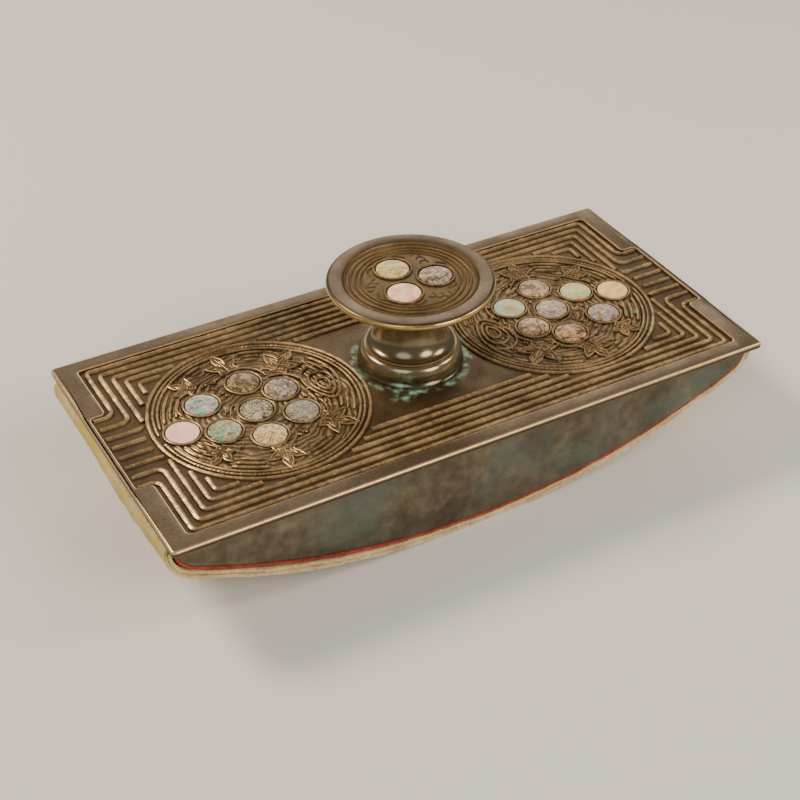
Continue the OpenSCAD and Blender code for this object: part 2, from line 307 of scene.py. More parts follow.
def pick_edges(test):
    """In edit mode, selects the edges whose two ends pass the test."""
    bpy.ops.mesh.select_mode(type="EDGE")
    bm = bmesh.from_edit_mesh(bpy.context.object.data)
    for edge in bm.edges:
        edge.select_set(bool(test(edge.verts[0].co, edge.verts[1].co)))
    bm.select_flush_mode()
    bmesh.update_edit_mesh(bpy.context.object.data)


def place_in_mesh(piece):
    """Moves a piece's place, turn and size into its mesh."""
    activate(piece)
    bpy.ops.object.transform_apply(location=True, rotation=True, scale=True)


def add_box(name, low, high):
    """A box between two corners, with its place in its mesh."""
    low, high = Vector(low), Vector(high)
    bpy.ops.mesh.primitive_cube_add(size=1, location=(low + high) / 2)
    piece = bpy.context.object
    piece.name = name
    piece.scale = high - low
    place_in_mesh(piece)
    return piece


def join(main, others):
    """Joins other objects into main."""
    activate(main)
    for piece in others:
        piece.select_set(True)
    if others:
        bpy.ops.object.join()
    return main


def apply_modifier(piece, kind, **settings):
    """Adds a modifier with its settings and applies it."""
    activate(piece)
    modifier = piece.modifiers.new(kind.lower(), kind)
    for key, value in settings.items():
        setattr(modifier, key, value)
    bpy.ops.object.modifier_apply(modifier=modifier.name)


def bore(piece, holes, top):
    """Bores round holes from a height down; holes are (x, y, radius, floor height)."""
    cutters = []
    for x, y, radius, bottom in holes:
        bpy.ops.mesh.primitive_cylinder_add(vertices=48, radius=radius, depth=top - bottom,
                                            location=(x, y, (top + bottom) / 2))
        cutters.append(bpy.context.object)
    cutter = join(cutters[0], cutters[1:])
    apply_modifier(piece, "BOOLEAN", operation="DIFFERENCE", solver="EXACT", object=cutter)
    bpy.data.objects.remove(cutter, do_unlink=True)


def disc_centre(node):
    low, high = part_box(node)
    return (low + high) / 2


plate_discs = [f"{side}_shell_{i}" for side in ("left", "right") for i in range(1, 9)]
disc_radius = (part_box("left_shell_1")[1].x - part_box("left_shell_1")[0].x) / 2

plate = add_box("engraved_plate", (-half_x, -half_y, plate_under), (half_x, half_y, plate_top))
for finish in (border_bronze, field_bronze, worn_edge_and_highlight, ridge_bronze):
    plate.data.materials.append(finish)
bpy.ops.object.mode_set(mode="EDIT")
pick_edges(lambda a, b: (a - b).z ** 2 > (1 * mm) ** 2)
bpy.ops.mesh.bevel(offset=corner_round, segments=4)
for normal, offsets in (((1, 0, 0), (field_half_x, window_half_x)),
                        ((0, 1, 0), (field_half_y, window_half_y))):
    for offset in offsets:
        for sign in (-1, 1):
            bpy.ops.mesh.select_all(action="SELECT")
            bpy.ops.mesh.bisect(plane_co=Vector(normal) * offset * sign, plane_no=normal)


def in_field(centre):
    middle = abs(centre.x) < field_half_x and abs(centre.y) < field_half_y
    return middle or (abs(centre.x) < window_half_x and abs(centre.y) < window_half_y)


pick_faces(lambda c, n: n.z > 0.9 and in_field(c))
bpy.context.object.active_material_index = 1
bpy.ops.object.material_slot_assign()
bpy.ops.mesh.extrude_region_move(TRANSFORM_OT_translate={"value": (0, 0, field_z - plate_top)})


def on_rim(point):
    near_x = half_x - abs(point.x)
    near_y = half_y - abs(point.y)
    return min(near_x, near_y) < 1e-6 or max(near_x, near_y) < 1.01 * corner_round


def on_inner_wall(a, b):
    """An upright edge at a corner of the sunk field."""
    upright = abs(a.z - b.z) > 0.5 * mm
    return upright and not on_rim(a) and a.z > plate_under + 0.1 * mm and b.z > plate_under + 0.1 * mm


def at_corner(point):
    """One of the twelve corners of the field and its end windows."""
    xs = min(abs(abs(point.x) - x) for x in (field_half_x, window_half_x)) < 1e-6
    ys = min(abs(abs(point.y) - y) for y in (field_half_y, window_half_y)) < 1e-6
    return xs and ys


def pick_field_lip():
    """In edit mode, selects the top edge of the sunk field's wall, and not the plate's rim."""
    bpy.ops.mesh.select_all(action="DESELECT")
    bpy.ops.mesh.select_mode(type="EDGE")
    bm = bmesh.from_edit_mesh(bpy.context.object.data)
    for edge in bm.edges:
        slopes = sorted(abs(face.normal.z) for face in edge.link_faces)
        on_top = min(vertex.co.z for vertex in edge.verts) > plate_top - 1e-6
        lip = len(slopes) == 2 and slopes[0] < 0.1 and slopes[1] > 0.9
        edge.select_set(on_top and lip and not all(on_rim(vertex.co) for vertex in edge.verts))
    bmesh.update_edit_mesh(bpy.context.object.data)


pick_edges(lambda a, b: on_inner_wall(a, b) and at_corner(a))
bpy.ops.mesh.bevel(offset=1.1 * mm, segments=4)
# The lip of the sunk field gets the pale edge finish, a painted highlight line.
pick_field_lip()
bpy.ops.mesh.bevel(offset=0.28 * mm, segments=2, material=2)
# The rounded rim, top and bottom, takes the pale edge finish: wear and a painted highlight.
pick_edges(lambda a, b: min(a.z, b.z) > plate_top - 1e-6 and on_rim(a) and on_rim(b))
bpy.ops.mesh.bevel(offset=edge_round, segments=5, material=2)
pick_edges(lambda a, b: max(a.z, b.z) < plate_under + 1e-6 and on_rim(a) and on_rim(b))
bpy.ops.mesh.bevel(offset=0.3 * mm, segments=3, material=2)
bpy.ops.object.mode_set(mode="OBJECT")

seats = [(disc_centre(n).x, disc_centre(n).y, disc_radius + 0.22 * mm, plate_top - 0.95 * mm)
         for n in plate_discs]
bore(plate, seats + [(0, 0, 3.35 * mm, plate_under - 1 * mm)], plate_top + 1 * mm)

rib_end = plate_low.z
ribs = [add_box("rib", (-20 * mm, y0, rib_end), (20 * mm, y0 + 1.6 * mm, plate_under + 0.1 * mm))
        for y0 in (-29.5 * mm, 27.9 * mm)]
for rib in ribs:
    rib.data.materials.append(border_bronze)
join(plate, ribs)

# Relief of the plate: raised lines cast with it, rounded on top and a little lumpy from the
# mould, standing as high as the border. They run round the field six deep, turn out through
# the end windows, and give way to two ringed groups of leaves, arcs and a scroll.
random.seed(11)
rail_pitch = 2.25 * mm
first_rail_x = 66.5 * mm
first_rail_y = 30.1 * mm
ring_radius = 24.3 * mm
line_width = 1.4 * mm


def turned(points, angle):
    """Points turned about the plate's middle."""
    c, s = math.cos(angle), math.sin(angle)
    return [(x * c - y * s, x * s + y * c) for x, y in points]


def arc(centre, radius, start, end, step=0.7 * mm):
    """Points along an arc, angles in degrees."""
    count = max(3, int(abs(math.radians(end - start)) * radius / step))
    angles = [math.radians(start + (end - start) * i / count) for i in range(count + 1)]
    return [(centre[0] + radius * math.cos(a), centre[1] + radius * math.sin(a)) for a in angles]


def along(a, b, step=0.8 * mm):
    """Points along a straight line."""
    count = max(1, int(math.dist(a, b) / step))
    return [(a[0] + (b[0] - a[0]) * i / count, a[1] + (b[1] - a[1]) * i / count) for i in range(count + 1)]


def add_line(curve, points, width, z, closed=False, lump=0.10, bead_mm=0.0, taper=True):
    """Adds one raised line to a curve: a round bar that the field half buries."""
    spline = curve.splines.new("POLY")
    spline.points.add(len(points) - 1)
    spline.use_cyclic_u = closed
    run = 0
    for i, (x, y) in enumerate(points):
        run += math.dist(points[i - 1], (x, y)) if i else 0
        swell = 1 + random.uniform(-lump, lump)
        if bead_mm:
            swell *= 0.66 + 0.34 * abs(math.sin(math.pi * run / (bead_mm * mm)))
        if taper and not closed and i in (0, len(points) - 1):
            swell *= 0.55
        spline.points[i].co = (x, y, z, 1)
        spline.points[i].radius = width / 2 / curve.bevel_depth * swell


def new_lines(name):
    curve = bpy.data.curves.new(name, "CURVE")
    curve.dimensions = "3D"
    curve.bevel_depth = line_width / 2
    curve.bevel_resolution = 2
    curve.use_fill_caps = True
    return curve


def lines_to_mesh(curve, finish):
    """Turns a curve's bars into one smooth mesh."""
    lines = bpy.data.objects.new(curve.name, curve)
    bpy.context.collection.objects.link(lines)
    activate(lines)
    bpy.ops.object.convert(target="MESH")
    lines.data.materials.clear()
    lines.data.materials.append(finish)
    bpy.ops.object.shade_smooth()
    return lines


def outside_rings(points):
    """Splits a path into the runs that keep clear of both ringed groups."""
    runs, run = [], []
    for x, y in points:
        if all(math.hypot(x - s * ring_centre_x, y) > ring_radius + 1.0 * mm for s in (-1, 1)):
            run.append((x, y))
        else:
            runs.append(run)
            run = []
    return [r for r in runs + [run] if len(r) > 2]


def quarter_rail(index):
    """One rail from the middle of the long side to where it leaves by the end window."""
    x = first_rail_x - index * rail_pitch
    y = first_rail_y - index * rail_pitch
    bend = 1.1 * mm
    path = along((0, y), (x - bend, y)) + arc((x - bend, y - bend), bend, 90, 0, 0.5 * mm)
    if index > 3:
        return path + along((x, y - bend), (x, 9 * mm))
    out_y = (12.6, 9.0, 5.4, 1.9)[index] * mm
    out_bend = 2.0 * mm
    path += along((x, y - bend), (x, out_y + out_bend))
    path += arc((x + out_bend, out_y + out_bend), out_bend, 180, 270, 0.5 * mm)
    return path + along((x + out_bend, out_y), (71.2 * mm, out_y))


rails = new_lines("rails")
for index in range(6):
    quarter = quarter_rail(index)
    for flip_x, flip_y in ((1, 1), (-1, 1), (-1, -1), (1, -1)):
        for run in outside_rings([(x * flip_x, y * flip_y) for x, y in quarter]):
            add_line(rails, run, line_width * random.uniform(0.95, 1.05), field_z - 0.12 * mm, taper=False)


def leaf_outline(size):
    """A five-lobed leaf, pointing along +x, from its stalk round and back: each lobe swells and
    then draws in to a point."""
    tips = [(-126, 0.66), (-60, 0.98), (0, 1.22), (60, 0.98), (126, 0.66)]
    points = [(-0.44, -0.09)]
    for i, (angle, reach) in enumerate(tips):
        if i:
            notch = math.radians((angle + tips[i - 1][0]) / 2)
            points.append((0.44 * math.cos(notch), 0.44 * math.sin(notch)))
        for share, swell in ((0.62, -0.20), (0.82, -0.10), (1.0, 0.0), (0.82, 0.10), (0.62, 0.20)):
            a = math.radians(angle)
            forward, aside = reach * share, swell * reach
            points.append((forward * math.cos(a) - aside * math.sin(a),
                           forward * math.sin(a) + aside * math.cos(a)))
    points.append((-0.44, 0.09))
    return [(x * size, y * size) for x, y in points]


def placed(points, radius, angle, lean=0):
    """Points drawn about the origin, moved out from a group's middle and turned with it."""
    spun = turned(points, math.radians(lean))
    return turned([(x + radius, y) for x, y in spun], math.radians(angle))


disc_spots = [(disc_centre(f"right_shell_{i}").x - ring_centre_x, disc_centre(f"right_shell_{i}").y)
              for i in range(1, 9)]

# Each leaf: its bearing in the group, distance from the middle, size and lean.
leaves = [(-88, 16.6, 4.6, 10), (-131, 15.6, 5.6, -8), (135, 16.3, 5.2, 8), (84, 16.7, 4.6, -8),
          (38, 17.2, 3.9, 0), (-51, 17.4, 3.9, 12)]


def clear_of_discs(points, room):
    """Splits a path into the runs that keep their distance from every shell disc."""
    runs, run = [], []
    for point in points:
        if min(math.dist(point, spot) for spot in disc_spots) > room:
            run.append(point)
        else:
            runs.append(run)
            run = []
    return [r for r in runs + [run] if len(r) > 2]


def ring_lines():
    """The three rings round a group: plain, beaded, plain. The inner ones stop at the end disc."""
    made = [(arc((0, 0), ring_radius, 0, 360)[:-1], 1.05 * mm, True, 0)]
    for radius, width, bead in ((23.05, 0.8, 0.95), (22.1, 0.75, 0)):
        loop = arc((0, 0), radius * mm, 1, 361, 0.3 * mm if bead else 0.7 * mm)
        made += [(run, width * mm, False, bead) for run in clear_of_discs(loop, 5.0 * mm)]
    return made


def leaf_lines():
    """Outline and veins of every leaf."""
    made = []
    for angle, radius, size, lean in leaves:
        made.append((placed(leaf_outline(size * mm), radius * mm, angle, lean), 0.62 * mm, False, 0))
        made.append((placed(leaf_outline(0.60 * size * mm), radius * mm, angle, lean), 0.45 * mm, False, 0))
        for vein, reach in ((0, 0.95), (62, 0.62), (-62, 0.62)):
            a = math.radians(vein)
            tip = (size * reach * math.cos(a) * mm, size * reach * math.sin(a) * mm)
            made.append((placed(along((-0.4 * size * mm * (vein == 0), 0), tip), radius * mm, angle, lean),
                         0.40 * mm, False, 0))
    return made


def filling_lines():
    """Arcs that follow the ring between the leaves, three deep, and a scroll of nested drops."""
    made = []
    gaps = [(-117, -101), (-75, -63), (-39, -13), (13, 27), (49, 71), (97, 121), (149, 168), (-165, -147)]
    for start, end in gaps:
        for i in range(3):
            trim = 1.5 * i * random.uniform(0.6, 1.2)
            path = arc((0, 0), (20.75 - 1.4 * i) * mm, start + trim, end - trim)
            made += [(run, 0.9 * mm, False, 1.3 if i == 1 else 0) for run in clear_of_discs(path, 5.2 * mm)]
    for scale in (1.0, 0.68, 0.36):
        drop = []
        for i in range(41):
            t = 2 * math.pi * i / 40
            drop.append((-16.2 * mm + 3.7 * mm * scale * math.cos(t) * (1 - 0.30 * math.sin(t)),
                         -1.6 * mm + 1.4 * mm * (1 - scale) + 6.4 * mm * scale * math.sin(t)))
        made.append((drop[:-1], 0.62 * mm, True, 0))
    for spot in disc_spots:
        out = math.degrees(math.atan2(spot[1], spot[0])) + random.uniform(-40, 40)
        loop = arc(spot, 5.55 * mm, out - 50, out + 50, 0.6 * mm)
        others = [o for o in disc_spots if o != spot]
        free = [p for p in loop
                if min(math.dist(p, o) for o in others) > 5.6 * mm and math.hypot(*p) < 21 * mm]
        if len(free) > 5:
            made.append((free, 0.55 * mm, False, 0))
    return made


def add_leaves(turn):
    """The leaves' swollen blades: filled outlines with rounded rims."""
    blades = bpy.data.curves.new("blades", "CURVE")
    blades.dimensions = "2D"
    blades.fill_mode = "BOTH"
    blades.extrude = 0.06 * mm
    blades.bevel_depth = 0.12 * mm
    blades.bevel_resolution = 1
    for angle, radius, size, lean in leaves:
        outline = placed(leaf_outline(size * mm * 0.93), radius * mm, angle, lean)
        spline = blades.splines.new("POLY")
        spline.points.add(len(outline) - 1)
        spline.use_cyclic_u = True
        for i, (x, y) in enumerate(turned([(x + ring_centre_x, y) for x, y in outline], turn)):
            spline.points[i].co = (x, y, 0, 1)
    made = lines_to_mesh(blades, ridge_bronze)
    made.location.z = field_z + 0.05 * mm
    place_in_mesh(made)
    return made


medallions = new_lines("medallions")
for half_turn in (0, math.pi):
    for points, width, closed, bead in ring_lines() + leaf_lines() + filling_lines():
        moved = turned([(x + ring_centre_x, y) for x, y in points], half_turn)
        add_line(medallions, moved, width, field_z + 0.46 * mm - width * 0.42, closed, 0.10, bead)
    stubs = 0
    while stubs < 40:
        radius, angle = random.uniform(3, 15) * mm, random.uniform(0, 360)
        x, y = radius * math.cos(math.radians(angle)), radius * math.sin(math.radians(angle))
        if min(math.dist((x, y), spot) for spot in disc_spots) < 5.6 * mm:
            continue
        half = random.uniform(0.2, 0.8) * mm
        lean = random.uniform(0, math.pi)
        dx, dy = half * math.cos(lean), half * math.sin(lean)
        stub = turned([(ring_centre_x + x + dx * t, y + dy * t) for t in (-1, -0.5, 0, 0.5, 1)], half_turn)
        add_line(medallions, stub, 0.6 * mm, field_z + 0.16 * mm, False, 0.1)
        stubs += 1
blades = [add_leaves(0), add_leaves(math.pi)]

# Each disc lies in a dark seat inside a thin raised rim.
rims = new_lines("disc_rims")
for name in plate_discs:
    centre = disc_centre(name)
    add_line(rims, arc((centre.x, centre.y), disc_radius + 0.52 * mm, 0, 360, 0.5 * mm)[:-1],
             0.50 * mm, field_z + 0.26 * mm, True, 0.08)

relief = [lines_to_mesh(curve, ridge_bronze) for curve in (rails, medallions, rims)]

# The bars' buried side is flattened inside the casting.
buried_z = field_z - 0.3 * mm
for lines in relief:
    for vertex in lines.data.vertices:
        vertex.co.z = max(vertex.co.z, buried_z)
join(plate, relief + blades)
bpy.ops.object.shade_smooth_by_angle(angle=math.radians(40))
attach(plate, "plate")
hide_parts("top_plate")

# Shell discs: slices of abalone and mother-of-pearl ground to a low dome and polished. Each
# slice shows its own bands of nacre, some with the dark figure of the growth lines.


def nacre(name, colours, patch_mm, stripe, figure, lean):
    """Polished shell: patches or stripes of nacre under dark growth figure."""
    material, tree, principled = new_material(name, {"Roughness": 0.25, "Specular IOR Level": 0.18,
                                                     "Coat Weight": 0.10})
    place = add_node(tree, "TexCoord", {}, {}, "Object")
    spun = add_node(tree, "Mapping", {}, {"Vector": place, "Rotation": (0, 0, math.radians(lean))})
    waves = add_node(tree, "TexWave", {"bands_direction": "X"},
                     {"Vector": spun, "Scale": math.tau / 20 / (patch_mm * mm), "Distortion": 6,
                      "Detail": 3, "Detail Scale": 0.7}, "Fac")
    striped = add_node(tree, "Math", multiply, [waves, stripe])
    drift = add_node(tree, "TexNoise", {}, {"Vector": spun, "Scale": 1000 / patch_mm, "Detail": 3,
                                            "Distortion": 1.2})
    patchy = add_node(tree, "MapRange", {}, [drift, 0.34, 0.66, 0.0, 1.0 - stripe])
    level = add_node(tree, "Math", add, [striped, patchy])
    colour = add_node(tree, "ValToRGB", {}, [level],
                      stops=[((i + 0.5) / len(colours), tint) for i, tint in enumerate(colours)])
    if figure:
        veins = add_node(tree, "TexNoise", {}, {"Vector": spun, "Scale": 1000 / 3.0, "Detail": 5,
                                                "Distortion": 1.8})
        off = add_node(tree, "Math", subtract, [veins, 0.48])
        off = add_node(tree, "Math", unsigned, [off])
        line = add_node(tree, "MapRange", {}, [off, 0.006, 0.035, 1.3 * figure, 0.0])
        colour = add_node(tree, "Mix", over, {0: line, 6: colour, 7: "#1f180f"}, 2)
        patch = add_node(tree, "MapRange", {}, [veins, 0.54, 0.60, 0.0, 1.2 * figure])
        colour = add_node(tree, "Mix", over, {0: patch, 6: colour, 7: "#2a2015"}, 2)
        colour = add_node(tree, "Mix", {"data_type": "RGBA", "blend_type": "MULTIPLY"},
                          {0: 1.0, 6: colour, 7: "#f6ecda"}, 2)
    tree.links.new(colour, principled.inputs["Base Color"])
    grain(tree, principled, 1.4, 0.02, 0.25)
    return material


shell_looks = {
    "left_shell_1": (["#f0c4b4", "#fad3c6", "#f0bfb0", "#eed9b0"], 4.0, 0.2, 0.0, 20),
    "left_shell_2": (["#8c7d5e", "#c9bb98", "#6fb8a0", "#ded9b8", "#a08a6c"], 3.0, 0.2, 0.5, 60),
    "left_shell_3": (["#8a7a64", "#7fdccb", "#d9cfc0", "#b49fc0", "#77909c"], 3.4, 0.4, 0.45, 95),
    "left_shell_4": (["#a5875c", "#d8c090", "#f0dcb0", "#b89768"], 3.0, 0.2, 0.5, 130),
    "left_shell_5": (["#75644a", "#b5a688", "#d0c4aa", "#8a9c88", "#b89cb0"], 2.4, 0.2, 0.75, 10),
    "left_shell_6": (["#6f5a3c", "#9a845f", "#c0a880", "#8c8660"], 2.4, 0.2, 0.75, 75),
    "left_shell_7": (["#8f7f9c", "#9aa583", "#c8b8a8", "#7c8c70", "#b0a0b4"], 1.8, 0.6, 0.45, 80),
    "left_shell_8": (["#86745c", "#b4a088", "#d8c8b4", "#a8a0d0", "#90a08c"], 2.6, 0.3, 0.7, 40),
    "right_shell_1": (["#dba868", "#e8bc78", "#eccb8a", "#e4b078"], 4.0, 0.4, 0.0, 50),
    "right_shell_2": (["#c8a878", "#d8c898", "#90d8a8", "#e4dca8", "#e0a890"], 4.4, 0.6, 0.1, -75),
    "right_shell_3": (["#97806a", "#b0a08c", "#c8bcae", "#988fb0", "#8ca094"], 2.4, 0.3, 0.6, 25),
    "right_shell_4": (["#9a8068", "#bca488", "#d4bc9c", "#a88888"], 2.4, 0.3, 0.65, 110),
    "right_shell_5": (["#98826c", "#b8a494", "#d4c4b8", "#a08cc0", "#d8c898"], 2.6, 0.4, 0.5, 140),
    "right_shell_6": (["#a88460", "#bf9a74", "#d0ac84", "#a87058"], 2.0, 0.2, 0.75, 15),
    "right_shell_7": (["#b8a070", "#c8c890", "#7cc4e8", "#d8d8a0", "#c0a880"], 5.0, 0.5, 0.15, -40),
    "right_shell_8": (["#8f7458", "#b49878", "#d4bc9c", "#b890a8"], 2.2, 0.3, 0.7, 70),
    "knob_shell_1": (["#c8b070", "#dcd490", "#f0d4a8", "#c8cc80"], 4.4, 0.55, 0.35, 92),
    "knob_shell_2": (["#e4a88c", "#f0c8a4", "#f8dcbc", "#e8b0a0"], 4.0, 0.2, 0.0, 30),
    "knob_shell_3": (["#86705a", "#a8947c", "#ccbca8", "#a098b8"], 2.4, 0.5, 0.7, 120),
}
for name, (colours, patch_mm, stripe, figure, lean) in shell_looks.items():
    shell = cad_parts[name]
    shell.data.materials.clear()
    shell.data.materials.append(nacre("nacre_" + name, colours, patch_mm, stripe, figure, lean))

# Knob: turned bronze, screwed on by hand. A thin foot, a waist and a wide flat disc in one
# piece; the neck is dark and polished, the rim below the disc is rubbed down to brass. Its top
# is sunk inside a plain rim and carries cast rings, arcs and three seats for shell discs.
knob_low, knob_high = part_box("knob")
knob_r = knob_high.x
knob_top = knob_high.z
foot_z = knob_low.z
foot_r = 10.2 * mm
waist_r = 7 * mm
waist_z = plate_top + 11 * mm
rim_nose = 0.875 * mm
knob_floor = knob_top - 0.5 * mm
knob_field_r = 15.3 * mm
stud_hole_r = 3.2 * mm


def turned_solid(name, profile, segments=128):
    """A solid turned about the upright axis; profile runs (radius, height) from its foot up."""
    radius, height = profile[0]
    bpy.ops.mesh.primitive_circle_add(vertices=segments, radius=radius, fill_type="NGON",
                                      location=(0, 0, height))
    piece = bpy.context.object
    piece.name = name
    place_in_mesh(piece)
    bpy.ops.object.mode_set(mode="EDIT")
    bpy.ops.mesh.select_all(action="SELECT")
    for next_radius, next_height in profile[1:]:
        bpy.ops.mesh.extrude_region_move(TRANSFORM_OT_translate={"value": (0, 0, next_height - height)})
        scale = next_radius / radius
        bpy.ops.transform.resize(value=(scale, scale, 1), center_override=(0, 0, next_height))
        radius, height = next_radius, next_height
    bpy.ops.mesh.select_all(action="SELECT")
    bpy.ops.mesh.normals_make_consistent(inside=False)
    bpy.ops.object.mode_set(mode="OBJECT")
    return piece


def flare(r0, r1, u):
    return r0 + (r1 - r0) * (1 - math.sqrt(max(0, 1 - u * u)))


def quarter(steps):
    """Angles from 0 to 90 degrees."""
    return [math.pi / 2 * i / steps for i in range(steps + 1)]


lip_z = foot_z + 0.5 * mm
under_z = knob_top - 2 * rim_nose
knob_profile = [(foot_r - 0.15 * mm, foot_z), (foot_r, foot_z + 0.15 * mm), (foot_r, lip_z)]
knob_profile += [(flare(waist_r, foot_r, math.cos(a)), waist_z - (waist_z - lip_z) * math.cos(a))
                 for a in quarter(14)[1:]]
knob_profile += [(flare(waist_r, knob_r - rim_nose, math.sin(a)), waist_z + (under_z - waist_z) * math.sin(a))
                 for a in quarter(14)[1:]]
knob_profile += [(knob_r - rim_nose + rim_nose * math.cos(a), under_z + rim_nose + rim_nose * math.sin(a))
                 for a in [math.pi * (i / 12 - 0.5) for i in range(1, 12)]]
knob_profile += [(knob_r - rim_nose, knob_top), (knob_field_r, knob_top),
                 (knob_field_r - 0.3 * mm, knob_top - 0.15 * mm), (knob_field_r - 0.45 * mm, knob_floor)]

# The neck is polished, olive brown and mirror-like, so it shows the lamps as sharp highlights.
neck_bronze = bronze("dark_polished_neck", "#675b45", "#8c7f62", "#ab9c7c",
                     foot_z - 2 * mm, knob_top + 1 * mm, 0.19, 0.5, wear=0.35)
# Fingers have rubbed the rim's underside down to yellow brass.
rim_brass = bronze("rubbed_brass_rim", "#4d3a18", "#8a6a30", "#c0a468",
                   under_z - 3.2 * mm, under_z + 1.6 * mm, 0.22, 0.8, wear=0.6)
# The rim's face is the border's silky brown again.
rim_face_bronze = bronze("smooth_knob_rim", "#483c2f", "#605240", "#766650",
                         knob_floor, knob_top + 0.3 * mm, 0.34, 0.7)
# The sunk top is matt and warmer than the plate's field, and its raised lines are golden, flecked with
# painted glints.
knob_field_bronze = bronze("browned_knob_field", "#53432d", "#786240", "#967c54",
                           knob_floor - 0.2 * mm, knob_floor + 0.4 * mm, 0.46, 0.5)
knob_ridge_bronze = bronze("rubbed_knob_relief", "#54432c", "#84693f", "#ae9060",
                           knob_floor, knob_top, 0.34, 0.45, glint="#e6c286")

knob = turned_solid("knob_turned", knob_profile)
for finish in (neck_bronze, rim_brass, rim_face_bronze, knob_field_bronze, worn_edge_and_highlight, knob_ridge_bronze):
    knob.data.materials.append(finish)
bpy.ops.object.mode_set(mode="EDIT")
# The foot's lip takes the pale edge finish in slot 4: wear and a painted highlight line.
for index, test in ((1, lambda c, n: c.z > under_z - 1.5 * mm),
                    (4, lambda c, n: c.z < lip_z),
                    (2, lambda c, n: c.z > knob_top - 0.3 * mm),
                    (3, lambda c, n: c.z < knob_top - 0.1 * mm and c.z > knob_floor - 0.1 * mm
                     and math.hypot(c.x, c.y) < knob_field_r)):
    pick_faces(test)
    bpy.context.object.active_material_index = index
    bpy.ops.object.material_slot_assign()
bpy.ops.object.mode_set(mode="OBJECT")
knob_discs = [f"knob_shell_{i}" for i in (1, 2, 3)]
bore(knob, [(disc_centre(n).x, disc_centre(n).y, disc_radius + 0.2 * mm, knob_top - 1.0 * mm)
             for n in knob_discs], knob_top + 1 * mm)
bore(knob, [(0, 0, stud_hole_r, foot_z - 1 * mm)], foot_z + 9.9 * mm)

knob_lines = new_lines("knob_lines")
ring_z = knob_floor - 0.05 * mm
for radius, width, bead in ((14.5, 0.7, 1.0), (13.3, 0.75, 0), (12.0, 0.75, 1.0), (10.9, 0.6, 0)):
    add_line(knob_lines, arc((0, 0), radius * mm, 0, 360, 0.33 * mm if bead else 0.7 * mm)[:-1],
             width * mm, ring_z, True, 0.08, bead)
knob_spots = [(disc_centre(n).x, disc_centre(n).y) for n in knob_discs]
for i, spot in enumerate(knob_spots):
    add_line(knob_lines, arc(spot, disc_radius + 0.62 * mm, 0, 360, 0.5 * mm)[:-1], 0.42 * mm,
             knob_floor + 0.22 * mm, True, 0.06)
    out = math.degrees(math.atan2(spot[1], spot[0]))
    for radius, reach in ((5.55, 76), (6.5, 52)):
        path = [p for p in arc(spot, radius * mm, out - reach, out + reach, 0.5 * mm)
                if math.hypot(*p) < 10.3 * mm]
        if len(path) > 3:
            add_line(knob_lines, path, 0.55 * mm, ring_z, False, 0.1)
    gap = math.radians(out + 60)
    for k in range(3):
        start = (7.6 + 1.1 * k) * mm
        side = math.radians(out + 60 - 9 + 9 * k)
        add_line(knob_lines, arc((start * math.cos(side), start * math.sin(side)), 0.9 * mm,
                                 math.degrees(gap) - 100, math.degrees(gap) + 140, 0.35 * mm),
                 0.42 * mm, ring_z, False, 0.1)
join(knob, [lines_to_mesh(knob_lines, knob_ridge_bronze)])
bpy.ops.object.shade_smooth_by_angle(angle=math.radians(40))
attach(knob, "knob")
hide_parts("knob")

# Collar: a cast ring soldered to the plate round the stud. It rises straight from the field in
# a narrow step and swells over to the knob's foot; polished like the neck, green at its base.
collar_low, collar_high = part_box("knob_collar")
collar_r = collar_high.x
collar_base = collar_low.z
collar_bronze = bronze("dark_polished_collar", "#4a402e", "#7c6e53", "#a29272",
                       collar_base, collar_high.z + 1.5 * mm, 0.20, 0.6, green=True, wear=0.45)
collar_profile = [(collar_r, collar_base), (collar_r, collar_base + 0.55 * mm),
                  (collar_r - 0.25 * mm, collar_base + 0.8 * mm),
                  (collar_r - 0.45 * mm, collar_base + 1.2 * mm)]
swell_z = collar_base + 1.5 * mm
collar_profile += [(foot_r + 0.1 * mm + (collar_r - foot_r - 0.35 * mm) * math.cos(a),
                    swell_z + (collar_high.z - swell_z) * math.sin(a)) for a in quarter(14)]
collar = turned_solid("collar_ring", collar_profile)
collar.data.materials.append(collar_bronze)
bore(collar, [(0, 0, 3.4 * mm, collar_base - 1 * mm)], collar_high.z + 1 * mm)
activate(collar)
bpy.ops.object.shade_smooth_by_angle(angle=math.radians(40))
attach(collar, "plate")
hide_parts("knob_collar")

# Body: sheet bronze soldered up into a shallow boat. The cheeks are mottled olive and grey
# brown with bluish patches, rust-brown under the plate and dark along the foot; the inside
# pieces were never polished, and the bush, stud and clip are plain brass.


